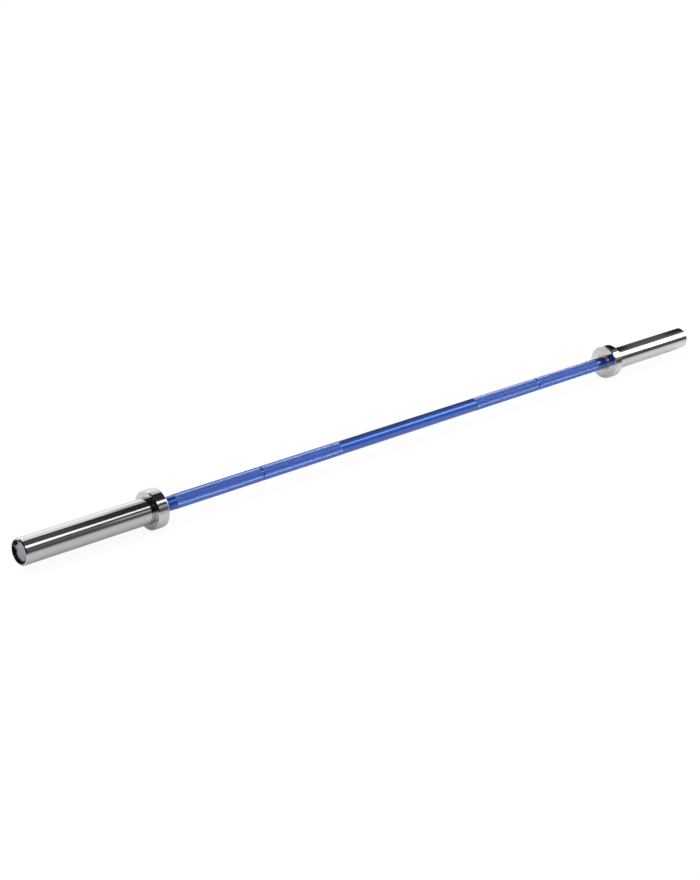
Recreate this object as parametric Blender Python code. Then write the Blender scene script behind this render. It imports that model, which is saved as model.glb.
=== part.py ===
"""Technique barbell: a turned light-alloy shaft with two free-spinning plate sleeves.

Frame: metres, +X along the bar, +Z up, origin on the bar's axis at the middle of the shaft.
The right-hand end (+X) is modelled once. The left-hand end is the same set of pieces,
turned half a turn about +Z under its own parent empty.
"""

import math

import bmesh
import bpy
from mathutils import Vector

# ---------------------------------------------------------------- driving dimensions (metres)
TOTAL_LENGTH = 1.900          # over both sleeve ends
BETWEEN_COLLARS = 1.306       # between the collars' inner faces
CLEARANCE = 0.0003            # gap between neighbouring pieces

# shaft
GRIP_D = 0.0280               # smooth stretches of the shaft
KNURL_D = 0.0284              # over the knurl's crests
MARK_D = 0.0278               # floor of the smooth ring marks
SMOOTH_CENTRE = 0.400         # length of the smooth middle
MARK_SPACING = 0.814          # between the middles of the ring marks
MARK_WIDTH = 0.005
KNURL_END = 0.6170            # from the middle of the bar to the knurl's outer end
JOURNAL_D = 0.0250            # inside the sleeves
SHAFT_END = 0.9320            # from the middle of the bar
SHAFT_GROOVE_D = 0.0239       # snap ring groove

# collar (plate stop)
COLLAR_D = 0.0750
COLLAR_T = 0.0245
COLLAR_LIP_T = 0.0023         # the thin wall that covers the sleeve's inner end
COLLAR_CHAMFER_OUT = 0.0020   # rim of the plate side
COLLAR_CHAMFER_IN = 0.0012    # rim of the grip side

# sleeve
SLEEVE_D = 0.0500
SLEEVE_SEAT_D = 0.0326        # bushing seats
SLEEVE_RELIEF_D = 0.0440      # bored out between the seats
SLEEVE_STEP_D = 0.0420        # between the outer seat and the mouth: the end cap rests on this step
SLEEVE_MOUTH_D = 0.0440       # counterbore for the end cap
SLEEVE_GROOVE_D = 0.0470      # groove for the cap's retaining ring
SLEEVE_BEVEL_L = 0.0020       # the sleeve's end slopes from its outside to the edge of its mouth
SLEEVE_RIM = 0.0003           # flat left at that edge

# bushings and washers
BUSH_ID = 0.0256
BUSH_OD = 0.0320
FLANGE_D = 0.0360
FLANGE_T = 0.0030
FLANGE_PROUD = 0.0007         # how far the flange stands out of the collar's face
INNER_BUSH_L = 0.0305
OUTER_BUSH_L = 0.0280
THIN_WASHER_T = 0.0010
OUTER_WASHER_T = 0.0025
SHIM_T = 0.0020

# rings and end cap
SNAP_T = 0.0012
CAP_T = 0.0030
CAP_D = 0.0434
CAP_RING_DEPTH = 0.0028       # from the sleeve's end to the ring
CAP_RING_T = 0.00175
CAP_RING_ID = 0.0360          # mean: the ring is slimmer beside its lugs than opposite them
CAP_RING_TAPER = 0.0007
CAP_RING_OD = 0.0464
CAP_RING_GAP_AT = 13.0        # degrees from +Y towards +Z, at both ends

SEGMENTS = 32                 # facets round every turned piece
# The facets are tangent to the true circle, and one of them faces straight down.
TANGENT = 1.0 / math.cos(math.pi / SEGMENTS)
PHASE = math.pi / SEGMENTS

# ---------------------------------------------------------------- places along +X, from the middle
COLLAR_IN = BETWEEN_COLLARS / 2
COLLAR_OUT = COLLAR_IN + COLLAR_T
SLEEVE_OUT = TOTAL_LENGTH / 2
FLANGE_IN = COLLAR_IN - FLANGE_PROUD
FLANGE_OUT = FLANGE_IN + FLANGE_T
THIN_WASHER_IN = FLANGE_IN - CLEARANCE - THIN_WASHER_T
SHOULDER = THIN_WASHER_IN - CLEARANCE
SLEEVE_IN = FLANGE_OUT + CLEARANCE
INNER_SEAT_END = FLANGE_IN + INNER_BUSH_L + 0.0010
OUTER_SEAT_IN = 0.8890
OUTER_SEAT_END = OUTER_SEAT_IN + OUTER_BUSH_L + 2 * CLEARANCE
OUTER_BUSH_IN = OUTER_SEAT_IN + CLEARANCE
OUTER_WASHER_IN = OUTER_SEAT_END + CLEARANCE
SHIM_IN = OUTER_WASHER_IN + OUTER_WASHER_T + CLEARANCE
GROOVE_IN = SHIM_IN + SHIM_T + 0.0001
SNAP_IN = GROOVE_IN + CLEARANCE
GROOVE_OUT = SNAP_IN + SNAP_T + CLEARANCE
CAP_RING_OUT = SLEEVE_OUT - CAP_RING_DEPTH
CAP_RING_IN = CAP_RING_OUT - CAP_RING_T
CAP_OUT = CAP_RING_IN - CLEARANCE
CAP_IN = CAP_OUT - CAP_T
MOUTH_STEP = CAP_IN - CLEARANCE
CAP_GROOVE_IN = CAP_RING_IN - CLEARANCE
CAP_GROOVE_OUT = CAP_RING_OUT + CLEARANCE


# ---------------------------------------------------------------- scene
for old in list(bpy.data.objects):
    bpy.data.objects.remove(old, do_unlink=True)


def metal(name, colour, roughness, metallic=1.0):
    """A Principled material."""
    made = bpy.data.materials.new(name)
    made.use_nodes = True
    shader = made.node_tree.nodes["Principled BSDF"]
    shader.inputs["Base Color"].default_value = (*colour, 1.0)
    shader.inputs["Roughness"].default_value = roughness
    shader.inputs["Metallic"].default_value = metallic
    made.diffuse_color = (*colour, 1.0)
    return made


BLUE = metal("blue_anodised_alloy", (0.045, 0.10, 0.42), 0.28)
SLEEVE_CHROME = metal("polished_chrome", (0.80, 0.80, 0.82), 0.08)
COLLAR_CHROME = metal("polished_chrome_collar", (0.78, 0.78, 0.80), 0.08)
BRONZE = metal("bushing_bronze", (0.60, 0.42, 0.18), 0.35)
WASHER_BRONZE = metal("washer_bronze", (0.56, 0.38, 0.17), 0.40)
WASHER_STEEL = metal("hardened_steel_washer", (0.52, 0.52, 0.54), 0.30)
SHIM_STEEL = metal("shim_steel", (0.45, 0.45, 0.47), 0.35)
SPRING_STEEL = metal("spring_steel_phosphated", (0.06, 0.06, 0.065), 0.45)
BLACK_RING = metal("black_retaining_ring", (0.015, 0.015, 0.017), 0.35)
CAP_SATIN = metal("satin_end_cap", (0.50, 0.55, 0.60), 0.42)


def finish(name, bm, material, base, parent):
    """Turn a bmesh into a named object whose origin is on the bar's axis, at x = base."""
    bmesh.ops.remove_doubles(bm, verts=bm.verts, dist=1e-6)
    bmesh.ops.dissolve_degenerate(bm, dist=1e-7, edges=bm.edges)
    bmesh.ops.recalc_face_normals(bm, faces=bm.faces)
    mesh = bpy.data.meshes.new(name)
    bm.to_mesh(mesh)
    bm.free()
    mesh.shade_smooth()
    mesh.set_sharp_from_angle(angle=math.radians(35))
    mesh.materials.append(material)
    return place(name, mesh, base, parent)


def place(name, mesh, base, parent, roll=0.0):
    made = bpy.data.objects.new(name, mesh)
    bpy.context.collection.objects.link(made)
    made.parent = parent
    made.location = (base, 0.0, 0.0)
    made.rotation_euler = (roll, 0.0, 0.0)
    return made


def around(angle, x, radius):
    """A point of a turned piece: angle is from +Y towards +Z."""
    return Vector((x, radius * math.cos(angle), radius * math.sin(angle)))


def turned(name, profile, material, base, parent, closed):
    """Spin a profile of (x, radius) points about the X axis.

    A closed profile makes a ring. An open one starts and ends on the axis and makes a solid bar.
    """
    bm = bmesh.new()
    points = [bm.verts.new(around(PHASE, x - base, r * TANGENT)) for x, r in profile]
    pairs = list(zip(points, points[1:]))
    if closed:
        pairs.append((points[-1], points[0]))
    edges = [bm.edges.new(pair) for pair in pairs]
    bmesh.ops.spin(
        bm,
        geom=points + edges,
        axis=(1.0, 0.0, 0.0),
        cent=(0.0, 0.0, 0.0),
        angle=2.0 * math.pi,
        steps=SEGMENTS,
        use_merge=True,
        use_duplicate=False,
    )
    return finish(name, bm, material, base, parent)


def drill(ring, centre, radius, depth):
    """Cut a small round hole along X through a ring, by a Boolean with a hidden cutter."""
    bm = bmesh.new()
    bmesh.ops.create_cone(
        bm, cap_ends=True, segments=10, radius1=radius, radius2=radius, depth=depth
    )
    bmesh.ops.rotate(
        bm,
        verts=bm.verts,
        cent=(0.0, 0.0, 0.0),
        matrix=Vector((0.0, 0.0, 1.0)).rotation_difference(Vector((1.0, 0.0, 0.0))).to_matrix(),
    )
    bmesh.ops.translate(bm, verts=bm.verts, vec=centre)
    mesh = bpy.data.meshes.new(ring.name + "_hole_cutter")
    bm.to_mesh(mesh)
    bm.free()
    cutter = bpy.data.objects.new(mesh.name, mesh)
    bpy.context.collection.objects.link(cutter)
    cutter.parent = ring.parent
    cutter.location = ring.location
    cutter.rotation_euler = ring.rotation_euler
    cutter.hide_render = True
    cutter.display_type = "WIRE"
    cut = ring.modifiers.new("hole", "BOOLEAN")
    cut.operation = "DIFFERENCE"
    cut.solver = "EXACT"
    cut.object = cutter


def open_ring(
    name, inner, outer, thickness, base, parent, material, gap, lug, lug_angle, outward, steps, hole, taper=0.0, roll=0.0
):
    """A snap ring: an open band with a lug at each end, its gap straight up before it is rolled.

    inner and outer are the band's radii, gap is the angle between the two ends, lug is how far the
    lugs reach past the band (outward on a shaft's ring, inward on a bore's ring). The inner edge is
    off centre by taper, so that the band is slimmer beside the lugs.
    """
    start = math.radians(90.0 + gap / 2)
    sweep = math.radians(360.0 - gap)
    lug_sweep = math.radians(lug_angle)
    stations = [0.0, lug_sweep * 0.5, lug_sweep, lug_sweep * 1.35]
    middle = sweep - 2 * lug_sweep * 1.35
    stations += [lug_sweep * 1.35 + middle * k / steps for k in range(1, steps)]
    stations += [sweep - s for s in (lug_sweep * 1.35, lug_sweep, lug_sweep * 0.5, 0.0)]
    bm = bmesh.new()
    sections = []
    for s in stations:
        from_end = min(s, sweep - s)
        extra = lug if from_end <= lug_sweep + 1e-9 else 0.0
        if from_end < 1e-9 or abs(from_end - lug_sweep) < 1e-9:
            extra = lug * 0.8
        edge = inner + taper * math.cos(math.radians(gap / 2) + s)
        low = edge - (0.0 if outward else extra)
        high = outer + (extra if outward else 0.0)
        angle = start + s
        sections.append(
            [
                bm.verts.new(around(angle, 0.0, low)),
                bm.verts.new(around(angle, 0.0, high)),
                bm.verts.new(around(angle, thickness, high)),
                bm.verts.new(around(angle, thickness, low)),
            ]
        )
    bm.faces.new(sections[0])
    bm.faces.new(list(reversed(sections[-1])))
    for a, b in zip(sections, sections[1:]):
        for k in range(4):
            bm.faces.new([a[k], b[k], b[(k + 1) % 4], a[(k + 1) % 4]])
    made = finish(name, bm, material, base, parent)
    made.rotation_euler = (roll, 0.0, 0.0)
    at = (outer + lug * 0.5 - 0.0006) if outward else (inner + taper - lug * 0.5 + 0.0004)
    for s in (lug_sweep * 0.5, sweep - lug_sweep * 0.5):
        centre = around(start + s, thickness / 2, at)
        drill(made, centre, hole, thickness * 3)
    return made


# ---------------------------------------------------------------- shaft
def shaft_half():
    """The shaft's profile from the middle to its +X end, as (x, radius)."""
    grip, knurl, mark = GRIP_D / 2, KNURL_D / 2, MARK_D / 2
    journal, groove = JOURNAL_D / 2, SHAFT_GROOVE_D / 2
    centre, spot, ramp = SMOOTH_CENTRE / 2, MARK_SPACING / 2, 0.0005
    return [
        (centre - ramp, grip),
        (centre, knurl),
        (spot - MARK_WIDTH / 2, knurl),
        (spot - MARK_WIDTH / 2 + ramp, mark),
        (spot + MARK_WIDTH / 2 - ramp, mark),
        (spot + MARK_WIDTH / 2, knurl),
        (KNURL_END, knurl),
        (KNURL_END + ramp, grip),
        (SHOULDER - 0.0004, grip),
        (SHOULDER, grip - 0.0004),
        (SHOULDER, journal),
        (GROOVE_IN, journal),
        (GROOVE_IN, groove),
        (GROOVE_OUT, groove),
        (GROOVE_OUT, journal),
        (SHAFT_END - 0.0010, journal),
        (SHAFT_END, journal - 0.0010),
        (SHAFT_END, 0.0),
    ]


half = shaft_half()
turned(
    "shaft",
    [(-x, r) for x, r in reversed(half)] + half,
    BLUE,
    0.0,
    None,
    closed=False,
)


# ---------------------------------------------------------------- the pieces of one end
def ring_profile(x0, x1, inner, outer, chamfer=0.0):
    """A plain washer or tube, with an optional chamfer on both outer edges."""
    if not chamfer:
        return [(x0, inner), (x0, outer), (x1, outer), (x1, inner)]
    return [
        (x0, inner),
        (x0, outer - chamfer),
        (x0 + chamfer, outer),
        (x1 - chamfer, outer),
        (x1, outer - chamfer),
        (x1, inner),
    ]


def collar_profile():
    rim = COLLAR_D / 2
    bore = SLEEVE_D / 2 + CLEARANCE
    lip_bore = FLANGE_D / 2 + CLEARANCE
    return [
        (COLLAR_IN, lip_bore),
        (COLLAR_IN, rim - COLLAR_CHAMFER_IN),
        (COLLAR_IN + COLLAR_CHAMFER_IN, rim),
        (COLLAR_OUT - COLLAR_CHAMFER_OUT, rim),
        (COLLAR_OUT, rim - COLLAR_CHAMFER_OUT),
        (COLLAR_OUT, bore + 0.0004),
        (COLLAR_OUT - 0.0004, bore),
        (COLLAR_IN + COLLAR_LIP_T, bore),
        (COLLAR_IN + COLLAR_LIP_T, lip_bore),
    ]


def sleeve_profile():
    outer, seat, relief = SLEEVE_D / 2, SLEEVE_SEAT_D / 2, SLEEVE_RELIEF_D / 2
    step, mouth, groove = SLEEVE_STEP_D / 2, SLEEVE_MOUTH_D / 2, SLEEVE_GROOVE_D / 2
    return [
        (SLEEVE_IN, seat),
        (SLEEVE_IN, outer - 0.0005),
        (SLEEVE_IN + 0.0005, outer),
        (SLEEVE_OUT - SLEEVE_BEVEL_L, outer),
        (SLEEVE_OUT, mouth + 0.0003 + SLEEVE_RIM),
        (SLEEVE_OUT, mouth + 0.0003),
        (SLEEVE_OUT - 0.0003, mouth),
        (CAP_GROOVE_OUT, mouth),
        (CAP_GROOVE_OUT, groove),
        (CAP_GROOVE_IN, groove),
        (CAP_GROOVE_IN, mouth),
        (MOUTH_STEP, mouth),
        (MOUTH_STEP, step),
        (OUTER_SEAT_END, step),
        (OUTER_SEAT_END, seat),
        (OUTER_SEAT_IN, seat),
        (OUTER_SEAT_IN, relief),
        (INNER_SEAT_END + 0.0020, relief),
        (INNER_SEAT_END, seat),
    ]


def inner_bushing_profile():
    bore, barrel, flange = BUSH_ID / 2, BUSH_OD / 2, FLANGE_D / 2
    end = FLANGE_IN + INNER_BUSH_L
    return [
        (FLANGE_IN, bore),
        (FLANGE_IN, flange - 0.0004),
        (FLANGE_IN + 0.0004, flange),
        (FLANGE_OUT, flange),
        (FLANGE_OUT, barrel),
        (end - 0.0008, barrel),
        (end, barrel - 0.0008),
        (end, bore),
    ]


def cap_profile():
    """A disc with a shallow turned recess in its hidden back."""
    r = CAP_D / 2
    return [
        (CAP_IN + 0.0010, 0.0),
        (CAP_IN + 0.0010, r * 0.66),
        (CAP_IN, r * 0.70),
        (CAP_IN, r - 0.0005),
        (CAP_IN + 0.0005, r),
        (CAP_OUT - 0.0005, r),
        (CAP_OUT, r - 0.0005),
        (CAP_OUT, 0.0),
    ]


def build_end(side, parent, shared):
    """All the pieces of one end. The second end shares the first end's meshes."""

    def piece(what, make):
        name = side + "_" + what
        if what in shared:
            # half a turn about +Z swaps +Y and -Y, so a roll is turned the other way
            first = shared[what]
            roll = -first.rotation_euler.x
            made = place(name, first.data, first.location.x, parent, roll)
            for old in first.modifiers:
                new = made.modifiers.new(old.name, old.type)
                new.operation, new.solver = old.operation, old.solver
                cutter = place(
                    name + "_" + old.name + "_cutter", old.object.data, old.object.location.x, parent, roll
                )
                cutter.hide_render = True
                cutter.display_type = "WIRE"
                new.object = cutter
        else:
            shared[what] = make(name)

    journal_gap = BUSH_ID / 2
    piece("sleeve", lambda n: turned(n, sleeve_profile(), SLEEVE_CHROME, COLLAR_OUT, parent, True))
    piece("collar", lambda n: turned(n, collar_profile(), COLLAR_CHROME, COLLAR_IN, parent, True))
    piece(
        "inner_bushing",
        lambda n: turned(n, inner_bushing_profile(), BRONZE, FLANGE_IN, parent, True),
    )
    piece(
        "outer_bushing",
        lambda n: turned(
            n,
            ring_profile(
                OUTER_BUSH_IN, OUTER_BUSH_IN + OUTER_BUSH_L, journal_gap, BUSH_OD / 2, 0.0008
            ),
            BRONZE,
            OUTER_BUSH_IN,
            parent,
            True,
        ),
    )
    piece(
        "inner_thrust_washer",
        lambda n: turned(
            n,
            ring_profile(THIN_WASHER_IN, THIN_WASHER_IN + THIN_WASHER_T, journal_gap, GRIP_D / 2),
            WASHER_STEEL,
            THIN_WASHER_IN,
            parent,
            True,
        ),
    )
    piece(
        "outer_thrust_washer",
        lambda n: turned(
            n,
            ring_profile(
                OUTER_WASHER_IN,
                OUTER_WASHER_IN + OUTER_WASHER_T,
                journal_gap,
                SLEEVE_STEP_D / 2 - 0.0005,
            ),
            WASHER_BRONZE,
            OUTER_WASHER_IN,
            parent,
            True,
        ),
    )
    piece(
        "shim_washer",
        lambda n: turned(
            n,
            ring_profile(SHIM_IN, SHIM_IN + SHIM_T, journal_gap, 0.0180),
            SHIM_STEEL,
            SHIM_IN,
            parent,
            True,
        ),
    )
    piece(
        "shaft_snap_ring",
        lambda n: open_ring(
            n,
            inner=SHAFT_GROOVE_D / 2 + CLEARANCE,
            outer=0.0150,
            thickness=SNAP_T,
            base=SNAP_IN,
            parent=parent,
            material=SPRING_STEEL,
            gap=40.0,
            lug=0.0024,
            lug_angle=16.0,
            outward=True,
            steps=22,
            hole=0.0009,
        ),
    )
    piece("end_cap", lambda n: turned(n, cap_profile(), CAP_SATIN, CAP_IN, parent, False))
    piece(
        "cap_retaining_ring",
        lambda n: open_ring(
            n,
            inner=CAP_RING_ID / 2,
            outer=CAP_RING_OD / 2,
            thickness=CAP_RING_T,
            base=CAP_RING_IN,
            parent=parent,
            material=BLACK_RING,
            gap=29.0,
            lug=0.0030,
            lug_angle=20.0,
            outward=False,
            steps=24,
            hole=0.0012,
            taper=CAP_RING_TAPER,
            roll=math.radians(CAP_RING_GAP_AT - 90.0),
        ),
    )


def axis_empty(name, turn):
    made = bpy.data.objects.new(name, None)
    bpy.context.collection.objects.link(made)
    made.rotation_euler = (0.0, 0.0, turn)
    return made


meshes = {}
build_end("right", axis_empty("right_end_axis", 0.0), meshes)
build_end("left", axis_empty("left_end_axis", math.pi), meshes)
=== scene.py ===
import math

import bmesh
import bpy
from mathutils import Matrix, Vector


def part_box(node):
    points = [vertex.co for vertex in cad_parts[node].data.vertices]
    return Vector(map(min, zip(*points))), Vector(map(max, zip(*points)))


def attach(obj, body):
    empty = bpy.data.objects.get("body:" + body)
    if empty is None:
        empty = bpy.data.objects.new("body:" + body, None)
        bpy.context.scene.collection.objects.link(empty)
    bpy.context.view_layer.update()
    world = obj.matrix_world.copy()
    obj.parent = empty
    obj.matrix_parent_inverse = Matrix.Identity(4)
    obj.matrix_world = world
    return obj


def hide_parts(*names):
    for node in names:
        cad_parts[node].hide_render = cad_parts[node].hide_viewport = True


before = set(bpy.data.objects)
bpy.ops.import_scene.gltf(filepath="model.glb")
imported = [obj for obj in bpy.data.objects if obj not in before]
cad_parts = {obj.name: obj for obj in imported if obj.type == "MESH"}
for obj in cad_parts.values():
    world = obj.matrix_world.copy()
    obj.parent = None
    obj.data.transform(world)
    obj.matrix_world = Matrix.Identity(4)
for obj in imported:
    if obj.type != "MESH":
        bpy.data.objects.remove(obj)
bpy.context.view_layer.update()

MM = 0.001
SEG = 192                 # facets round the large turned pieces
SEG_SMALL = 128           # facets round the small ones

# ---------------------------------------------------------------- sizes, in millimetres
GRIP_R = 14.0
KNURL_R = 14.2            # crests of the knurl
VALLEY_R = 13.84          # bottoms of its grooves
MARK_R = 13.9             # smooth ring marks
CENTRE = 200.0            # the smooth middle reaches this far each way
MARK_IN, MARK_OUT = 404.5, 409.5
KNURL_END = 617.0
SHOULDER = 650.7
JOURNAL_R = 12.5
KNURL_ROUND = 60          # diamonds round the shaft
KNURL_PITCH = 2.6         # length of one diamond along the shaft


# ================================================================ materials
class Graph:
    """A small helper around one material's nodes."""

    def __init__(self, name):
        self.mat = bpy.data.materials.new(name)
        self.mat.use_nodes = True
        self.tree = self.mat.node_tree
        self.shader = self.tree.nodes["Principled BSDF"]

    def node(self, kind, **values):
        made = self.tree.nodes.new(kind)
        for key, value in values.items():
            if hasattr(made, key) and key not in made.inputs:
                setattr(made, key, value)
            else:
                made.inputs[key].default_value = value
        return made

    def link(self, a, b):
        self.tree.links.new(a, b)

    def math(self, operation, a, b=None, c=None, clamp=False):
        made = self.tree.nodes.new("ShaderNodeMath")
        made.operation = operation
        made.use_clamp = clamp
        for socket, value in zip(made.inputs, (a, b, c)):
            if value is None:
                continue
            if isinstance(value, (int, float)):
                socket.default_value = value
            else:
                self.link(value, socket)
        return made.outputs[0]

    def ramp(self, value, stops, smooth=False):
        made = self.tree.nodes.new("ShaderNodeValToRGB")
        made.color_ramp.interpolation = "EASE" if smooth else "LINEAR"
        elements = made.color_ramp.elements
        while len(elements) < len(stops):
            elements.new(0.5)
        for element, (at, colour) in zip(elements, stops):
            element.position = at
            element.color = (*colour, 1.0) if len(colour) == 3 else colour
        self.link(value, made.inputs["Fac"])
        return made.outputs["Color"]

    def axes(self):
        """Object coordinates in millimetres: along the bar, the angle round it, and the radius."""
        where = self.node("ShaderNodeTexCoord").outputs["Object"]
        split = self.node("ShaderNodeSeparateXYZ")
        self.link(where, split.inputs[0])
        x, y, z = split.outputs
        angle = self.math("ARCTAN2", z, y)
        radius = self.math("SQRT", self.math("ADD", self.math("MULTIPLY", y, y), self.math("MULTIPLY", z, z)))
        return (
            where,
            self.math("MULTIPLY", x, 1000.0),
            angle,
            self.math("MULTIPLY", radius, 1000.0),
        )

    def vector(self, x, y, z):
        made = self.tree.nodes.new("ShaderNodeCombineXYZ")
        for socket, value in zip(made.inputs, (x, y, z)):
            if isinstance(value, (int, float)):
                socket.default_value = value
            else:
                self.link(value, socket)
        return made.outputs[0]

    def noise(self, vector, scale, detail=3.0, roughness=0.55, dimensions="3D", distortion=0.0):
        made = self.tree.nodes.new("ShaderNodeTexNoise")
        made.noise_dimensions = dimensions
        made.inputs["Scale"].default_value = scale
        made.inputs["Detail"].default_value = detail
        made.inputs["Roughness"].default_value = roughness
        made.inputs["Distortion"].default_value = distortion
        self.link(vector, made.inputs["Vector"])
        return made.outputs["Fac"]

    def spread(self, value, low, high, clamp=True):
        """Maps the middle of a noise, 0.3 to 0.7, to low and high."""
        made = self.tree.nodes.new("ShaderNodeMapRange")
        made.clamp = clamp
        made.inputs["From Min"].default_value = 0.3
        made.inputs["From Max"].default_value = 0.7
        made.inputs["To Min"].default_value = low
        made.inputs["To Max"].default_value = high
        self.link(value, made.inputs["Value"])
        return made.outputs[0]

    def mix(self, fac, a, b):
        made = self.tree.nodes.new("ShaderNodeMix")
        made.data_type = "RGBA"
        self.link(fac, made.inputs[0])
        for socket, value in ((made.inputs[6], a), (made.inputs[7], b)):
            if isinstance(value, tuple):
                socket.default_value = (*value, 1.0)
            else:
                self.link(value, socket)
        return made.outputs[2]

    def bump(self, height, strength, distance):
        made = self.tree.nodes.new("ShaderNodeBump")
        made.inputs["Strength"].default_value = strength
        made.inputs["Distance"].default_value = distance
        self.link(height, made.inputs["Height"])
        self.link(made.outputs["Normal"], self.shader.inputs["Normal"])
        return made

    def set(self, **values):
        for key, value in values.items():
            socket = self.shader.inputs[key.replace("_", " ")]
            if isinstance(value, tuple):
                socket.default_value = (*value, 1.0)
            elif isinstance(value, (int, float)):
                socket.default_value = value
            else:
                self.link(value, socket)


def turned_lines(g, along, angle, period, wander=0.35):
    """Fine lines that a tool leaves round a turned piece: noise that hardly changes with the angle."""
    swing = g.math("MULTIPLY", g.math("SINE", angle), wander)
    swing2 = g.math("MULTIPLY", g.math("COSINE", angle), wander)
    return g.noise(g.vector(g.math("DIVIDE", along, period), swing, swing2), 1.0, 4.0, 0.6)


def chrome(name, colour, rough, facing=False):
    """Polished chrome plate: faint turning lines under it, a few wipe marks, very fine hazing."""
    g = Graph(name)
    where, x, angle, radius = g.axes()
    along = radius if facing else x
    lines = turned_lines(g, along, angle, 0.35)
    smudge = g.noise(where, 38.0, 4.0, 0.6, distortion=0.6)
    fine = g.noise(where, 900.0, 2.0, 0.5)
    tone = g.math("ADD", g.math("MULTIPLY", smudge, 0.6), g.math("MULTIPLY", fine, 0.4))
    low = tuple(c * 0.965 for c in colour)
    g.set(
        Base_Color=g.mix(tone, low, colour),
        Metallic=1.0,
        Roughness=g.math("ADD", g.spread(smudge, rough * 0.75, rough * 1.35), g.spread(lines, -0.008, 0.012)),
    )
    g.bump(lines, 0.05, 0.00002)
    return g.mat


def blue_alloy(name, knurl=False, painted_shade=False):
    """Blue anodised alloy: a dyed, slightly cloudy layer over turned metal, with a clear sealed surface.
    The darker copy on the ring marks and journals is painted shade, standing in for the dark reflections of the collars
    and room on the journals."""
    g = Graph(name)
    where, x, angle, radius = g.axes()
    lines = turned_lines(g, x, angle, 0.30)
    cloud = g.noise(where, 22.0, 4.0, 0.55)
    grain = g.noise(where, 1400.0, 2.0, 0.5)
    deep, light = ((0.009, 0.086, 0.450), (0.014, 0.106, 0.525)) if not knurl else ((0.042, 0.120, 0.465), (0.052, 0.138, 0.525))
    # painted shade: a darker copy of the blue, for the journals' dark reflections of the collars and room, used on the
    # ring marks too
    if painted_shade:
        deep, light = (0.004, 0.045, 0.330), (0.008, 0.062, 0.400)
    colour = g.mix(g.spread(cloud, 0.15, 0.85), deep, light)
    if knurl:
        # the crests are rubbed a little paler than the grooves
        crest = g.tree.nodes.new("ShaderNodeMapRange")
        crest.inputs["From Min"].default_value = 13.95
        crest.inputs["From Max"].default_value = 14.18
        g.link(radius, crest.inputs["Value"])
        colour = g.mix(g.math("MULTIPLY", crest.outputs[0], 0.5), colour, (0.090, 0.188, 0.570))
    g.set(
        Base_Color=colour,
        Metallic=0.90 if not knurl else 0.85,
        Roughness=g.math("ADD", g.spread(grain, 0.36, 0.42) if not knurl else g.spread(grain, 0.48, 0.56), g.spread(lines, -0.02, 0.03)),
        Specular_IOR_Level=0.2,
        Coat_Weight=1.0,
        Coat_Roughness=0.11 if not knurl else 0.17,
        Coat_IOR=1.6,
    )
    if not knurl:
        g.bump(lines, 0.06, 0.00002)
    return g.mat


def bronze(name, facing=False):
    """Oil-filled bronze: turned, with fine pores and patches darkened by the oil."""
    g = Graph(name)
    where, x, angle, radius = g.axes()
    lines = turned_lines(g, radius if facing else x, angle, 0.22)
    stain = g.noise(where, 120.0, 5.0, 0.6, distortion=0.4)
    pores = g.noise(where, 2600.0, 2.0, 0.5)
    colour = g.mix(g.spread(stain, 0.0, 1.0), (0.54, 0.415, 0.295), (0.77, 0.635, 0.505))
    colour = g.mix(g.math("LESS_THAN", pores, 0.36), colour, (0.28, 0.20, 0.13))
    g.set(
        Base_Color=colour,
        Metallic=1.0,
        Roughness=g.math("ADD", g.spread(stain, 0.26, 0.42), g.spread(lines, -0.03, 0.04)),
    )
    g.bump(g.math("ADD", lines, g.math("MULTIPLY", pores, 0.5)), 0.12, 0.00003)
    return g.mat


def steel(name, colour, rough, facing=True):
    """Ground or rolled steel, with fine lines and a thin oil film."""
    g = Graph(name)
    where, x, angle, radius = g.axes()
    lines = turned_lines(g, radius if facing else x, angle, 0.16)
    film = g.noise(where, 160.0, 4.0, 0.6, distortion=0.5)
    low = tuple(c * 0.72 for c in colour)
    g.set(
        Base_Color=g.mix(g.spread(film, 0.1, 1.0), low, colour),
        Metallic=1.0,
        Roughness=g.math("ADD", g.spread(film, rough * 0.8, rough * 1.25), g.spread(lines, -0.04, 0.05)),
    )
    g.bump(lines, 0.10, 0.00002)
    return g.mat


def blackened(name, colour, rough, worn, metallic=0.7, shine=0.5):
    """Blackened spring steel: a dull dark coat, greyer where it is thin."""
    g = Graph(name)
    where, x, angle, radius = g.axes()
    mottle = g.noise(where, 420.0, 4.0, 0.6)
    fine = g.noise(where, 2600.0, 2.0, 0.5)
    g.set(
        Base_Color=g.mix(g.spread(mottle, 0.0, 1.0), colour, worn),
        Metallic=metallic,
        Roughness=g.math("ADD", g.spread(mottle, rough * 0.85, rough * 1.2), g.spread(fine, -0.03, 0.03)),
        Specular_IOR_Level=shine,
    )
    g.bump(fine, 0.10, 0.00002)
    return g.mat


def bore_wall(name):
    """The unplated inside of the sleeve: dark, with the boring tool's lines."""
    g = Graph(name)
    where, x, angle, radius = g.axes()
    lines = turned_lines(g, x, angle, 0.30)
    film = g.noise(where, 90.0, 4.0, 0.6)
    g.set(
        Base_Color=g.mix(g.spread(film, 0.0, 1.0), (0.020, 0.020, 0.022), (0.055, 0.052, 0.050)),
        Metallic=0.9,
        Roughness=g.math("ADD", g.spread(film, 0.42, 0.58), g.spread(lines, -0.06, 0.06)),
    )
    g.bump(lines, 0.25, 0.00003)
    return g.mat


def satin_cap(name):
    """Bare satin metal, faced on a lathe: rings so fine that they only show as a sheen."""
    g = Graph(name)
    where, x, angle, radius = g.axes()
    lines = turned_lines(g, radius, angle, 0.12, wander=0.15)
    cloud = g.noise(where, 110.0, 4.0, 0.6)
    g.set(
        Base_Color=g.mix(g.spread(cloud, 0.0, 1.0), (0.350, 0.372, 0.405), (0.400, 0.424, 0.460)),
        Metallic=1.0,
        Roughness=g.math("ADD", g.spread(cloud, 0.38, 0.46), g.spread(lines, -0.04, 0.05)),
    )
    g.bump(lines, 0.16, 0.00002)
    return g.mat


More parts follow.
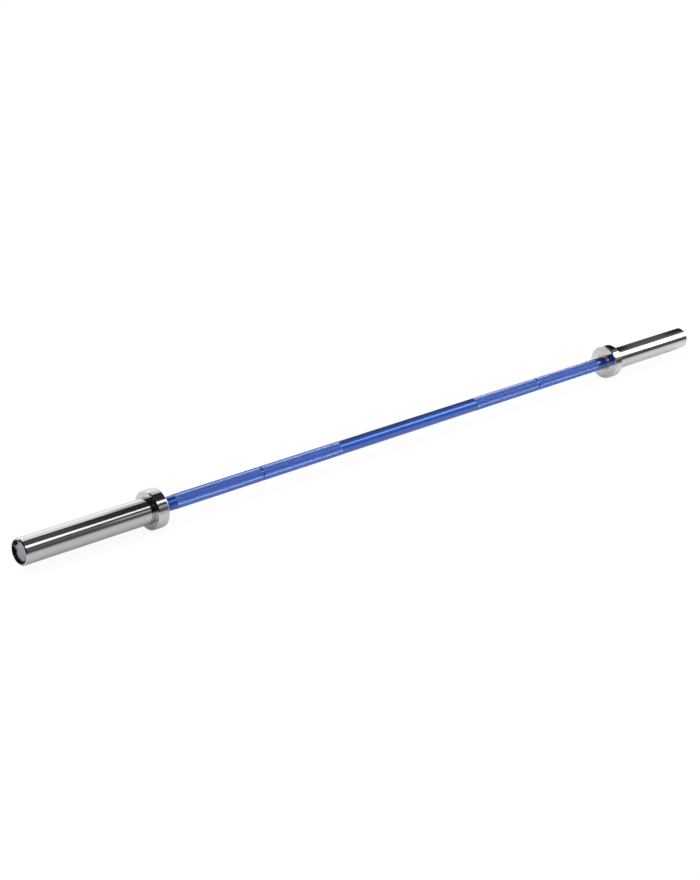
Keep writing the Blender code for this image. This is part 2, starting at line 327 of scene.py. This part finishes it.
CHROME = (0.578, 0.571, 0.590)
MATS = {
    "sleeve": chrome("polished_sleeve_chrome", CHROME, 0.070),
    "collar": chrome("polished_collar_chrome", (0.622, 0.616, 0.630), 0.080, facing=True),
    "bore": bore_wall("unplated_bore"),
    "blue": blue_alloy("blue_anodised"),
    # the darker blue below is painted shade
    "blue_painted_shade": blue_alloy("blue_anodised_painted_shade", painted_shade=True),
    "knurl": blue_alloy("blue_anodised_knurl", knurl=True),
    "bronze": bronze("oiled_bronze"),
    "bronze_face": bronze("oiled_bronze_faced", facing=True),
    "washer": steel("ground_washer_steel", (0.52, 0.52, 0.54), 0.28),
    "shim": steel("rolled_shim_steel", (0.46, 0.46, 0.475), 0.34),
    "spring": blackened("phosphated_spring_steel", (0.030, 0.030, 0.033), 0.45, (0.085, 0.085, 0.090)),
    "black": blackened("blackened_spring_steel", (0.003, 0.003, 0.0035), 0.45, (0.008, 0.008, 0.009), metallic=0.5, shine=0.06),
    # painted light: the mouth is lighter than the dark bore behind it, standing in for the lit groove seen through the
    # ring's gap
    "mouth": steel("mouth_steel_painted_light", (0.37, 0.345, 0.33), 0.24, facing=False),
    "cap": satin_cap("satin_faced_cap"),
}


# ================================================================ turned pieces
def rounded(profile, closed, steps=4, hold=0.25):
    """A profile of (x, radius, fillet) corners as a list of (x, radius) points, with an arc at each
    filleted corner and a point just past each end of the arc, so that smooth shading stays local."""
    count = len(profile)
    points = []
    for k, (px, pr, fillet) in enumerate(profile):
        here = Vector((px, pr))
        if not closed and k in (0, count - 1):
            points.append((px, pr))
            continue
        before = Vector(profile[k - 1][:2])
        after = Vector(profile[(k + 1) % count][:2])
        a, b = before - here, after - here
        la, lb = a.length, b.length
        a.normalize()
        b.normalize()
        half = math.acos(max(-1.0, min(1.0, a.dot(b)))) / 2
        if fillet <= 0 or half > math.radians(88):
            points.append((px, pr))
            continue
        reach = min(fillet / math.tan(half), 0.42 * la, 0.42 * lb)
        radius = reach * math.tan(half)
        centre = here + (a + b).normalized() * (radius / math.sin(half))
        start, stop = here + a * reach, here + b * reach
        v0, v1 = start - centre, stop - centre
        turn = math.atan2(v0.x * v1.y - v0.y * v1.x, v0.dot(v1))
        if la - reach > 2.2 * hold:
            p = start + a * hold
            points.append((p.x, p.y))
        for i in range(steps + 1):
            t = turn * i / steps
            c, s = math.cos(t), math.sin(t)
            points.append((centre.x + v0.x * c - v0.y * s, centre.y + v0.x * s + v0.y * c))
        if lb - reach > 2.2 * hold:
            p = stop + b * hold
            points.append((p.x, p.y))
    return points


def split_long(points, longest, closed):
    """Adds points along stretches longer than this, so that no face is a long sliver."""
    made = []
    count = len(points)
    last = count if closed else count - 1
    for k in range(count):
        p = points[k]
        made.append(p)
        if k >= last:
            break
        q = points[(k + 1) % count]
        n = int(math.hypot(q[0] - p[0], q[1] - p[1]) // longest)
        for i in range(1, n + 1):
            t = i / (n + 1)
            made.append((p[0] + (q[0] - p[0]) * t, p[1] + (q[1] - p[1]) * t))
    return made


def add(name, mesh, body, nodes, mats):
    made = bpy.data.objects.new(name, mesh)
    bpy.context.scene.collection.objects.link(made)
    for m in mats:
        mesh.materials.append(m)
    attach(made, body)
    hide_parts(*nodes)
    return made


def lathe(name, profile, body, nodes, mats, side=1, closed=True, seg=SEG, longest=12.0, index=None, angle=32, steps=4):
    """Turns a profile of (x, radius, fillet) in millimetres about the bar's axis. side=-1 mirrors it to the left end."""
    points = split_long(rounded(profile, closed, steps), longest, closed)
    bm = bmesh.new()
    rings = []
    for x, r in points:
        if r < 1e-6:
            rings.append([bm.verts.new((side * x * MM, 0.0, 0.0))])
            continue
        rings.append(
            [
                bm.verts.new(
                    (
                        side * x * MM,
                        r * MM * math.cos(2 * math.pi * k / seg),
                        r * MM * math.sin(2 * math.pi * k / seg),
                    )
                )
                for k in range(seg)
            ]
        )
    pairs = list(zip(range(len(rings) - 1), range(1, len(rings))))
    if closed:
        pairs.append((len(rings) - 1, 0))
    for i, j in pairs:
        a, b = rings[i], rings[j]
        for k in range(seg):
            n = (k + 1) % seg
            if len(a) == 1 and len(b) == 1:
                continue
            if len(a) == 1:
                face = [a[0], b[n], b[k]]
            elif len(b) == 1:
                face = [a[k], a[n], b[0]]
            else:
                face = [a[k], a[n], b[n], b[k]]
            made = bm.faces.new(face)
            if index is not None:
                made.material_index = index((points[i][0] + points[j][0]) / 2, (points[i][1] + points[j][1]) / 2)
    bmesh.ops.recalc_face_normals(bm, faces=bm.faces)
    mesh = bpy.data.meshes.new(name)
    bm.to_mesh(mesh)
    bm.free()
    mesh.shade_smooth()
    mesh.set_sharp_from_angle(angle=math.radians(angle))
    return add(name, mesh, body, nodes, mats)


# ================================================================ the shaft
def knurled(name, start, end):
    """A knurled stretch between two places along the bar: crossed V grooves leave flat-topped diamonds.

    The rows of diamonds are fitted to the stretch, and the ones cut by its ends end in a small ramp."""
    rows = round((end - start) / KNURL_PITCH * 2)
    half = (end - start) / rows
    top = 0.40
    bm = bmesh.new()

    def at(u, v, r):
        a = 2 * math.pi * u / KNURL_ROUND
        return (v * MM, r * MM * math.cos(a), r * MM * math.sin(a))

    low = {}

    def valley(u2, row):
        key = (u2 % (2 * KNURL_ROUND), row)
        if key not in low:
            low[key] = bm.verts.new(at(key[0] / 2, start + row * half, VALLEY_R))
        return low[key]

    # a diamond's middle is on every row, at every second half step round the shaft
    for row in range(rows + 1):
        for k in range(KNURL_ROUND):
            u2 = 2 * k + (row % 2)
            u, v = u2 / 2, start + row * half
            left, right = valley(u2 - 1, row), valley(u2 + 1, row)
            tl = bm.verts.new(at(u - top / 2, v, KNURL_R)) if 0 < row < rows else None
            tr = bm.verts.new(at(u + top / 2, v, KNURL_R)) if 0 < row < rows else None
            if 0 < row < rows:
                down, up = valley(u2, row - 1), valley(u2, row + 1)
                td = bm.verts.new(at(u, v - top * half, KNURL_R))
                tu = bm.verts.new(at(u, v + top * half, KNURL_R))
                bm.faces.new([tl, td, tr, tu])
                bm.faces.new([left, down, td, tl])
                bm.faces.new([down, right, tr, td])
                bm.faces.new([right, up, tu, tr])
                bm.faces.new([up, left, tl, tu])
            else:
                step = 1 if row == 0 else -1
                inner = valley(u2, row + step)
                back = 0.25 * step
                tl = bm.verts.new(at(u - top * 0.45, v + back, KNURL_R - 0.08))
                tr = bm.verts.new(at(u + top * 0.45, v + back, KNURL_R - 0.08))
                ti = bm.verts.new(at(u, v + step * top * half, KNURL_R))
                bm.faces.new([tl, ti, tr])
                bm.faces.new([left, inner, ti, tl])
                bm.faces.new([inner, right, tr, ti])
                bm.faces.new([right, left, tl, tr])
    for row in (0, rows):
        ring = [valley(2 * k + (row % 2) + 1, row) for k in range(KNURL_ROUND)]
        hub = bm.verts.new(((start + row * half) * MM, 0.0, 0.0))
        for k in range(KNURL_ROUND):
            bm.faces.new([hub, ring[k], ring[(k + 1) % KNURL_ROUND]])
    bmesh.ops.recalc_face_normals(bm, faces=bm.faces)
    mesh = bpy.data.meshes.new(name)
    bm.to_mesh(mesh)
    bm.free()
    mesh.shade_flat()
    return add(name, mesh, "shaft", ["shaft"], [MATS["knurl"]])


def shaft():
    knurled("shaft_knurl_left_outer", -KNURL_END, -MARK_OUT)
    knurled("shaft_knurl_left_inner", -MARK_IN, -CENTRE)
    knurled("shaft_knurl_right_inner", CENTRE, MARK_IN)
    knurled("shaft_knurl_right_outer", MARK_OUT, KNURL_END)
    v = VALLEY_R
    lathe(
        "shaft_smooth_middle",
        [(-CENTRE, 0, 0), (-CENTRE, v, 0), (-CENTRE + 0.3, GRIP_R, 0.2), (CENTRE - 0.3, GRIP_R, 0.2), (CENTRE, v, 0), (CENTRE, 0, 0)],
        "shaft", ["shaft"], [MATS["blue"]], closed=False,
    )
    # the ring marks and the ends with their journals take the darker blue, which is painted shade
    for side, word in ((-1, "left"), (1, "right")):
        lathe(
            f"shaft_ring_mark_{word}",
            [(MARK_IN, 0, 0), (MARK_IN, v, 0), (MARK_IN + 0.15, MARK_R, 0.1), (MARK_OUT - 0.15, MARK_R, 0.1), (MARK_OUT, v, 0), (MARK_OUT, 0, 0)],
            "shaft", ["shaft"], [MATS["blue_painted_shade"]], side=side, closed=False,
        )
        lathe(
            f"shaft_{word}_end_and_journal",
            [
                (KNURL_END, 0, 0), (KNURL_END, v, 0), (KNURL_END + 0.3, GRIP_R, 0.2),
                (SHOULDER, GRIP_R, 0.4), (SHOULDER, JOURNAL_R, 0.15),
                (922.8, JOURNAL_R, 0.10), (922.8, 11.95, 0.05), (924.6, 11.95, 0.05), (924.6, JOURNAL_R, 0.10),
                (931.0, JOURNAL_R, 0.4), (932.0, 11.5, 0.25), (932.0, 2.6, 0.1), (929.2, 0.0, 0),
            ],
            "shaft", ["shaft"], [MATS["blue_painted_shade"]], side=side, closed=False,
        )


# ================================================================ the pieces of one end
def sleeve(side, word):
    def inside(x, r):
        """The bore and everything past the mouth's edge is unplated, and the mouth in front of the cap takes a lighter
        steel, which is painted light for the groove seen lit through the ring's gap.
        """
        if r > 24.2 or x < 655.9 or (x > 947.6 and r > 22.04) or x > 949.72:
            return 0
        return 2 if x > 941.9 else 1

    lathe(
        f"{word}_sleeve_tube",
        [
            (655.6, 16.3, 0.2), (655.6, 25.0, 0.5),
            (948.0, 25.0, 0.35), (950.0, 22.6, 0.18), (950.0, 22.3, 0.08),
            (949.7, 22.0, 0.06), (947.5, 22.0, 0.05), (947.5, 23.5, 0.1), (945.15, 23.5, 0.1), (945.15, 22.0, 0.05),
            (941.85, 22.0, 0.1), (941.85, 21.0, 0.1), (917.6, 21.0, 0.2), (917.6, 16.3, 0.2),
            (889.0, 16.3, 0.2), (889.0, 22.0, 0.4), (685.8, 22.0, 0.4), (683.8, 16.3, 0.2),
        ],
        f"{word}_sleeve", [f"{word}_sleeve"], [MATS["sleeve"], MATS["bore"], MATS["mouth"]],
        side=side, index=inside,
    )


def collar(side, word):
    lathe(
        f"{word}_plate_stop_collar",
        [
            (653.0, 18.3, 0.25), (653.0, 37.5, 2.0),
            (675.5, 37.5, 0.35), (677.5, 35.5, 0.35), (677.5, 25.7, 0.12), (677.1, 25.3, 0.1),
            (655.3, 25.3, 0.1), (655.3, 18.3, 0.1),
        ],
        f"{word}_sleeve", [f"{word}_collar"], [MATS["collar"]], side=side,
    )


def bushings(side, word):
    lathe(
        f"{word}_inner_bushing_flanged",
        [
            (652.3, 12.8, 0.35), (652.3, 18.0, 0.35), (655.3, 18.0, 0.2), (655.3, 16.0, 0.15),
            (682.0, 16.0, 0.3), (682.8, 15.2, 0.15), (682.8, 12.8, 0.3),
            (670.5, 12.8, 0.1), (669.9, 13.2, 0.3), (668.1, 13.2, 0.3), (667.5, 12.8, 0.1),
        ],
        f"{word}_sleeve", [f"{word}_inner_bushing"], [MATS["bronze"]], side=side, seg=SEG_SMALL,
    )
    lathe(
        f"{word}_outer_bushing_plain",
        [
            (889.3, 12.8, 0.35), (889.3, 15.2, 0.15), (890.1, 16.0, 0.3), (916.5, 16.0, 0.3), (917.3, 15.2, 0.15), (917.3, 12.8, 0.35),
            (904.8, 12.8, 0.1), (904.2, 13.2, 0.3), (902.4, 13.2, 0.3), (901.8, 12.8, 0.1),
        ],
        f"{word}_sleeve", [f"{word}_outer_bushing"], [MATS["bronze"]], side=side, seg=SEG_SMALL,
    )


def washers(side, word):
    def washer(name, node, mat, x0, x1, inner, outer, fillet):
        lathe(
            name,
            [(x0, inner, fillet), (x0, outer, fillet), (x1, outer, fillet), (x1, inner, fillet)],
            "shaft", [node], [mat], side=side, seg=SEG_SMALL, longest=3.0,
        )

    washer(f"{word}_inner_thrust_washer_steel", f"{word}_inner_thrust_washer", MATS["washer"], 651.0, 652.0, 12.8, 14.0, 0.15)
    washer(f"{word}_outer_thrust_washer_bronze", f"{word}_outer_thrust_washer", MATS["bronze_face"], 917.9, 920.4, 12.8, 20.5, 0.3)
    washer(f"{word}_shim_washer_steel", f"{word}_shim_washer", MATS["shim"], 920.7, 922.7, 12.8, 18.0, 0.2)


def snap_ring(name, node, body, mat, side, x0, x1, inner, outer, gap, lug, lug_angle, outward, hole, taper, gap_at, edge):
    """An open spring ring, cut from plate, with a drilled ear at each end of its gap.

    The outline is one closed curve with rounded corners, and the edges are broken all round."""
    def out(a):
        return outer

    def low(a):
        return inner + taper * math.cos(math.radians(a))

    def polar(a, r):
        t = math.radians(gap_at + a)
        return (r * math.cos(t), r * math.sin(t))

    first, last = gap / 2, 360 - gap / 2
    ear0, ear1 = first + lug_angle, last - lug_angle

    def arc(a0, a1, radius, step=2.0):
        n = max(2, int(abs(a1 - a0) / step))
        return [polar(a0 + (a1 - a0) * k / n, radius(a0 + (a1 - a0) * k / n)) for k in range(n + 1)]

    corners = []          # (points, fillet of the corner before each run)
    if outward:
        reach = outer + lug
        runs = [
            arc(first, ear0, lambda a: reach), arc(ear0 + 2.0, ear1 - 2.0, out), arc(ear1, last, lambda a: reach),
            arc(last, first, low),
        ]
    else:
        reach = lambda a: low(a) - lug
        runs = [
            arc(first, last, out),
            arc(last, ear1, reach), arc(ear1 - 2.5, ear0 + 2.5, low), arc(ear0, first, reach),
        ]
    # the corners between the runs are rounded by short arcs
    outline = []
    for k, run in enumerate(runs):
        before = runs[k - 1][-1]
        corner_in, corner_out = Vector(before), Vector(run[0])
        outline.extend(run)
    pts = [Vector(p) for p in outline]
    made = []
    n = len(pts)
    for k in range(n):
        p, a, b = pts[k], pts[k - 1], pts[(k + 1) % n]
        if (p - a).length < 1e-4:
            continue
        da, db = (a - p), (b - p)
        la, lb = da.length, db.length
        if la < 1e-6 or lb < 1e-6:
            made.append(p)
            continue
        da.normalize()
        db.normalize()
        bend = math.pi - math.acos(max(-1.0, min(1.0, da.dot(db))))
        if bend < math.radians(25):
            made.append(p)
            continue
        cut = min(0.55, 0.45 * la, 0.45 * lb)
        for t in (0.0, 0.25, 0.5, 0.75, 1.0):
            q = (p + da * cut) * (1 - t) ** 2 + p * 2 * t * (1 - t) + (p + db * cut) * t ** 2
            made.append(q)
    curve = bpy.data.curves.new(name + "_outline", "CURVE")
    curve.dimensions = "2D"
    curve.fill_mode = "BOTH"
    curve.extrude = ((x1 - x0) / 2 - edge) * MM
    curve.bevel_depth = edge * MM
    curve.bevel_resolution = 2
    curve.offset = -edge * MM

    def spline(points):
        s = curve.splines.new("POLY")
        s.points.add(len(points) - 1)
        for c, p in zip(s.points, points):
            c.co = (p[0] * MM, p[1] * MM, 0.0, 1.0)
        s.use_cyclic_u = True

    spline(made)
    mid = (outer + lug * 0.5 - 0.6) if outward else None
    for ear in (first + lug_angle / 2, last - lug_angle / 2):
        at_r = mid if outward else low(ear) - lug * 0.5 + 0.4
        c = polar(ear, at_r)
        spline([(c[0] + hole * math.cos(-2 * math.pi * k / 24), c[1] + hole * math.sin(-2 * math.pi * k / 24)) for k in range(24)])
    holder = bpy.data.objects.new(name + "_outline", curve)
    bpy.context.scene.collection.objects.link(holder)
    bpy.context.view_layer.update()
    mesh = bpy.data.meshes.new_from_object(holder.evaluated_get(bpy.context.evaluated_depsgraph_get()))
    bpy.data.objects.remove(holder)
    # the curve lies in its own XY plane: put that across the bar, with its Z along the bar
    middle = side * (x0 + x1) / 2 * MM
    for v in mesh.vertices:
        px, py, pz = v.co
        v.co = (middle + pz, px, py)
    bm = bmesh.new()
    bm.from_mesh(mesh)
    bmesh.ops.remove_doubles(bm, verts=bm.verts, dist=2e-6)
    bmesh.ops.dissolve_degenerate(bm, dist=1e-7, edges=bm.edges)
    bmesh.ops.recalc_face_normals(bm, faces=bm.faces)
    bm.to_mesh(mesh)
    bm.free()
    mesh.name = name
    mesh.shade_smooth()
    mesh.set_sharp_from_angle(angle=math.radians(32))
    return add(name, mesh, body, [node], [mat])


def end_cap(side, word):
    lathe(
        f"{word}_end_cap_disc",
        [
            (943.15, 0.0, 0), (943.15, 14.3, 0.2), (942.15, 15.2, 0.3), (942.15, 21.7, 0.5),
            (945.15, 21.7, 0.45), (945.15, 0.0, 0),
        ],
        f"{word}_sleeve", [f"{word}_end_cap"], [MATS["cap"]], side=side, closed=False, longest=2.5,
    )


shaft()
for SIDE, WORD in ((-1, "left"), (1, "right")):
    sleeve(SIDE, WORD)
    collar(SIDE, WORD)
    bushings(SIDE, WORD)
    washers(SIDE, WORD)
    end_cap(SIDE, WORD)
    snap_ring(
        f"{WORD}_shaft_snap_ring_spring", f"{WORD}_shaft_snap_ring", "shaft", MATS["spring"], SIDE,
        923.1, 924.3, 12.25, 15.0, 40.0, 2.4, 18.0, True, 0.9, 0.0, 90.0, 0.12,
    )
    snap_ring(
        f"{WORD}_cap_ring_blackened", f"{WORD}_cap_retaining_ring", f"{WORD}_sleeve", MATS["black"], SIDE,
        945.45, 947.2, 18.0, 23.2, 29.0, 3.0, 20.0, False, 1.2, 0.7, 13.0, 0.15,
    )


# ================================================================ stage
def glow(name, strength, colour=(1.0, 1.0, 1.0)):
    mat = bpy.data.materials.new(name)
    mat.use_nodes = True
    tree = mat.node_tree
    tree.nodes.clear()
    out = tree.nodes.new("ShaderNodeOutputMaterial")
    em = tree.nodes.new("ShaderNodeEmission")
    em.inputs["Color"].default_value = (*colour, 1.0)
    em.inputs["Strength"].default_value = strength
    tree.links.new(em.outputs[0], out.inputs["Surface"])
    return mat


def card(name, corners, mat, glossy_only=True):
    """A flat studio card or panel. It is only there for the metal to reflect."""
    mesh = bpy.data.meshes.new(name)
    mesh.from_pydata([Vector(c) for c in corners], [], [list(range(len(corners)))])
    mesh.update()
    made = bpy.data.objects.new(name, mesh)
    bpy.context.scene.collection.objects.link(made)
    mesh.materials.append(mat)
    if glossy_only:
        made.visible_camera = False
        made.visible_diffuse = False
        made.visible_shadow = False
        made.visible_transmission = False
    return made


def across(x, corners):
    """Corners (y, z) in the plane at x."""
    return [(x, y, z) for y, z in corners]


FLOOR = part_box("left_collar")[0].z

world = bpy.data.worlds.new("studio")
bpy.context.scene.world = world
world.use_nodes = True
world.node_tree.nodes["Background"].inputs["Color"].default_value = (1.0, 1.0, 1.0, 1.0)
world.node_tree.nodes["Background"].inputs["Strength"].default_value = 1.15

# the floor that the camera sees
floor_mat = bpy.data.materials.new("pale_floor")
floor_mat.use_nodes = True
tree = floor_mat.node_tree
tree.nodes.clear()
out = tree.nodes.new("ShaderNodeOutputMaterial")
both = tree.nodes.new("ShaderNodeAddShader")
diffuse = tree.nodes.new("ShaderNodeBsdfDiffuse")
diffuse.inputs["Color"].default_value = (0.110, 0.110, 0.110, 1.0)
shine = tree.nodes.new("ShaderNodeEmission")
shine.inputs["Color"].default_value = (1.0, 1.0, 1.0, 1.0)
shine.inputs["Strength"].default_value = 0.898
clear = tree.nodes.new("ShaderNodeBsdfTransparent")
under = tree.nodes.new("ShaderNodeMixShader")
facing = tree.nodes.new("ShaderNodeNewGeometry")
tree.links.new(diffuse.outputs[0], both.inputs[0])
tree.links.new(shine.outputs[0], both.inputs[1])
tree.links.new(facing.outputs["Backfacing"], under.inputs[0])
tree.links.new(both.outputs[0], under.inputs[1])
tree.links.new(clear.outputs[0], under.inputs[2])
tree.links.new(under.outputs[0], out.inputs["Surface"])
R = 60.0
floor = card("floor", [(-R, -R, FLOOR - 0.0001), (R, -R, FLOOR - 0.0001), (R, R, FLOOR - 0.0001), (-R, R, FLOOR - 0.0001)], floor_mat, glossy_only=False)
floor.visible_glossy = False
floor.visible_diffuse = False
floor.visible_shadow = False

# the floor as the metal reflects it, with light and shade painted into its colour on top of its own shading: painted
# shade under the bar, painted light towards the far end and the bar's left, and a painted fall-off into the dark of the
# room on its right
mirror_floor = bpy.data.materials.new("floor_in_reflections")
mirror_floor.use_nodes = True
tree = mirror_floor.node_tree
tree.nodes.clear()


def wired(kind, *inputs, **values):
    made = tree.nodes.new(kind)
    for key, value in values.items():
        setattr(made, key, value)
    for socket, value in zip(made.inputs, inputs):
        if isinstance(value, bpy.types.NodeSocket):
            tree.links.new(value, socket)
        elif value is not None:
            socket.default_value = value
    return made.outputs[0]


def span(value, from_low, from_high, to_low, to_high):
    return wired("ShaderNodeMapRange", value, from_low, from_high, to_low, to_high)


place = tree.nodes.new("ShaderNodeTexCoord").outputs["Object"]
parts = tree.nodes.new("ShaderNodeSeparateXYZ")
tree.links.new(place, parts.inputs[0])
fx, fy = parts.outputs[0], parts.outputs[1]
# painted fall-off into the dark of the room on the bar's right
fall = tree.nodes.new("ShaderNodeValToRGB")
stops = fall.color_ramp.elements
for at, level in ((0.0, 0.04), (0.25, 0.06), (0.55, 0.17), (0.80, 0.48), (0.91, 0.86), (1.0, 1.0)):
    e = stops.new(at)
    e.color = (level, level, level, 1.0)
stops.remove(stops[0])
stops.remove(stops[-1])
tree.links.new(span(fy, -1.0, -0.05, 0.0, 1.0), fall.inputs["Fac"])


def both_of(operation, a, b):
    return wired("ShaderNodeMath", a, b, operation=operation)


# painted light and shade: darker just under the bar, lighter towards the far end and further out on the bar's left
end_to_end = span(fx, -0.8, 0.8, 0.82, 0.96)
under_bar = both_of("ADD", span(fy, -0.030, 0.010, 1.0, 0.82), both_of("MULTIPLY", span(fx, 0.2, 0.8, 0.0, 0.12), span(fy, -0.10, -0.02, 0.0, 1.0)))
level = both_of("ADD", under_bar, span(fy, 0.030, 0.20, 0.0, 0.28))
level = both_of("MULTIPLY", level, end_to_end)
level = both_of("MULTIPLY", level, fall.outputs["Color"])
# on the right the painted fall-off comes sooner towards the far end
slant = both_of("MULTIPLY", span(fx, -0.6, 0.7, 0.14, -0.30), span(fy, -0.30, -0.12, 1.0, 0.0))
level = both_of("MULTIPLY", level, both_of("ADD", slant, 1.0))
# beside the shaft the painted colour is darker on the left and under it, painted shade, and the lit part carries on
# further on the right
beside_shaft = tree.nodes.new("ShaderNodeValToRGB")
stops = beside_shaft.color_ramp.elements
for at, grey in ((0.0, 0.16), (0.2, 0.26), (0.353, 0.44), (0.467, 0.68), (0.567, 0.92), (0.613, 0.86), (0.647, 0.74), (0.673, 0.66), (0.72, 0.62), (0.78, 0.50), (0.99, 0.46)):
    e = stops.new(at)
    e.color = (grey, grey, grey, 1.0)
stops.remove(stops[0])
stops.remove(stops[-1])
tree.links.new(span(fy, -1.0, 0.5, 0.0, 1.0), beside_shaft.inputs["Fac"])
middle = span(wired("ShaderNodeMath", fx, operation="ABSOLUTE"), 0.40, 0.54, 1.0, 0.0)
level = both_of("ADD", both_of("MULTIPLY", level, both_of("SUBTRACT", 1.0, middle)), both_of("MULTIPLY", beside_shaft.outputs["Color"], middle))
# past the left end, painted darkness stands for the dark of the room that the sleeve's bevel meets
past_end = both_of("MULTIPLY", span(fx, -1.16, -1.02, 0.94, 0.0), span(fy, -0.06, -0.03, 1.0, 0.0))
level = both_of("MULTIPLY", level, both_of("SUBTRACT", 1.0, past_end))
shaded = tree.nodes.new("ShaderNodeBsdfDiffuse")
tree.links.new(level, shaded.inputs["Color"])
out = tree.nodes.new("ShaderNodeOutputMaterial")
tree.links.new(shaded.outputs[0], out.inputs["Surface"])
below = FLOOR - 0.0002
lower = card("floor_reflected", [(-R, -R, below), (R, -R, below), (R, R, below), (-R, R, below)], mirror_floor)
lower.visible_diffuse = True
lower.visible_shadow = True


def polar(x, corners):
    """Corners of a card across the bar at x, as (elevation from level on the bar's left, distance from its axis)."""
    return [(x, d * math.cos(math.radians(a)), d * math.sin(math.radians(a))) for a, d in corners]


def band(low, high, inner, outer):
    """Corners of a ring-shaped card, between two elevations and two distances from the bar's axis."""
    n = max(1, round((high - low) / 8))
    there = [low + (high - low) * k / n for k in range(n + 1)]
    return [(a, inner) for a in there] + [(a, outer) for a in reversed(there)]


def cards(tag, x, step, made):
    """Cards across the bar near x, each a little in front of the one before."""
    for k, (name, strength, corners) in enumerate(made):
        card(f"{tag}_{name}", polar(x + step * k, corners), glow(f"{tag}_{name}", strength))


# beyond the right end: a dark room with a long softbox high on the bar's right and a white backdrop on its left
card("right_room", across(3.0, [(9.0, FLOOR), (9.0, 12.0), (-12.0, 12.0), (-12.0, FLOOR)]), glow("right_room", 0.050))
cards("right", 2.99, -0.004, [
    ("wall_grey", 0.08, band(22, 62, 2.3, 4.3)),
    ("wall_high", 0.20, band(62, 92, 2.3, 5.0)),
    ("wall_near", 0.03, band(30, 116, 5.2, 5.85)),
    ("wall_low", 0.135, band(28, 97, 1.66, 1.86)),
    ("wall_collar", 0.012, band(22, 84, 1.88, 2.3)),
    ("wall_dark", 0.02, band(34, 82, 1.2, 1.62)),
    ("ceiling", 0.10, band(78, 118, 6.4, 9.0)),
    ("low_side", 0.12, band(148, 181, 1.3, 9.0)),
    ("low_side_grey", 0.32, band(148, 181, 2.3, 5.0)),
    ("backdrop_low", 0.38, band(-3, 9, 1.3, 5.5)),
    ("backdrop_edge", 0.13, band(9, 21, 1.3, 5.3)),
    ("backdrop", 1.17, [(-3, 5.4), (9, 5.1), (20, 4.5), (32, 4.3), (44, 4.3), (56, 4.4), (65, 4.9), (74, 5.6), (77, 7.2), (78, 11.0), (60, 12.0), (45, 12.5), (22, 11.0), (-1, 9.0)]),
    ("backdrop_left", 1.17, band(-3, 12.5, 1.3, 1.86)),
    ("backdrop_grey", 0.66, band(50, 74, 5.4, 5.95)),
    ("backdrop_mid", 1.28, band(21, 51, 5.5, 8.0)),
    ("backdrop_bright", 1.44, band(27, 46, 5.5, 8.0)),
    ("side_strip", 0.50, band(150, 165, 5.2, 5.9)),
    ("side_strip_end", 0.18, band(150, 163, 5.9, 7.4)),
    ("softbox_foot", 0.40, band(148, 163, 1.88, 2.2)),
    ("spill", 0.20, band(86, 112, 1.45, 2.3)),
    ("spill_out", 0.33, band(84, 112, 2.3, 4.5)),
    ("softbox", 3.0, [(108.5, 1.45), (109.5, 1.9), (120, 4.0), (124, 5.1), (136, 5.1), (140, 4.0), (149, 1.85), (154, 1.7), (154.5, 1.45)]),
    ("softbox_fall", 1.9, [(124, 5.1), (124, 5.4), (135.5, 5.4), (136, 5.1)]),
    ("softbox_end", 1.50, [(124, 5.4), (124, 6.1), (139, 6.1), (135.5, 5.4)]),
    ("softbox_mid", 1.75, [(124, 6.1), (123, 6.7), (141, 6.7), (139, 6.1)]),
    ("softbox_tip", 1.95, [(123, 6.7), (122.5, 7.1), (122.5, 7.9), (142.5, 7.9), (142.5, 7.1), (141, 6.7)]),
    ("centre", 4.20, [(-60, 1.2), (-15, 1.2), (30, 1.2), (75, 1.2), (120, 1.2), (165, 1.2), (210, 1.2), (255, 1.2)]),
])

# beyond the left end: white low on the bar's left, with a black screen over most of the rest
cards("left", -2.99, 0.004, [
    ("backdrop", 1.15, [(-3, 1.3), (-1, 10.0), (82, 10.0), (78, 1.3)]),
    ("room", 0.050, [(82, 3.9), (82, 11.0), (187, 11.0), (187, 3.9)]),
    ("screen", 0.012, [(-3, 0.3), (-3, 3.25), (15, 3.3), (32, 3.35), (45, 4.1), (65, 4.3), (85, 4.2), (105, 4.1), (125, 4.1), (145, 4.1), (165, 4.1), (187, 4.1), (187, 0.3)]),
    ("softbox", 2.6, [(120, 4.15), (124, 7.5), (141, 7.5), (140, 4.15)]),
])

# beside the bar: a long softbox on the right and the dark of the room around it
def beside(name, strength, start, stop, distance, low, high):
    a, b = math.radians(low), math.radians(high)
    card(name, [
        (start, distance * math.cos(a), distance * math.sin(a)), (stop, distance * math.cos(a), distance * math.sin(a)),
        (stop, distance * math.cos(b), distance * math.sin(b)), (start, distance * math.cos(b), distance * math.sin(b)),
    ], glow(name, strength))


beside("side_softbox", 9.0, -2.9, 0.1, 7.6, 124, 143)
beside("side_softbox_end", 6.5, 0.1, 2.9, 7.6, 124, 143)
beside("side_room_back", 2.80, -2.9, 2.3, 8.0, 34, 62)
beside("side_room_back_end", 1.15, 2.3, 2.9, 8.0, 34, 62)
beside("side_room_high", 0.12, -2.9, 2.9, 8.0, 62, 80)
beside("side_room_top", 0.12, -2.9, 2.9, 8.0, 80, 120)
beside("side_room_low", 0.12, -2.9, 2.9, 8.0, 144, 179)

# ================================================================ camera
camera = bpy.data.cameras.new("camera")
camera.lens = 68.02
camera.sensor_width = 36.0
camera.sensor_fit = "AUTO"
camera.clip_start = 0.01
camera.clip_end = 300.0
eye = bpy.data.objects.new("camera", camera)
bpy.context.scene.collection.objects.link(eye)
forward = Vector((0.65213, 0.67965, -0.33588)).normalized()
right = forward.cross(Vector((0.0, 0.0, 1.0))).normalized()
up = right.cross(forward).normalized()
turn = Matrix((right, up, -forward)).transposed().to_4x4()
eye.matrix_world = Matrix.Translation(Vector((-2.3473, -2.2726, 1.1332))) @ turn
bpy.context.scene.camera = eye

bpy.context.scene.view_settings.view_transform = "Standard"
bpy.context.scene.view_settings.look = "None"
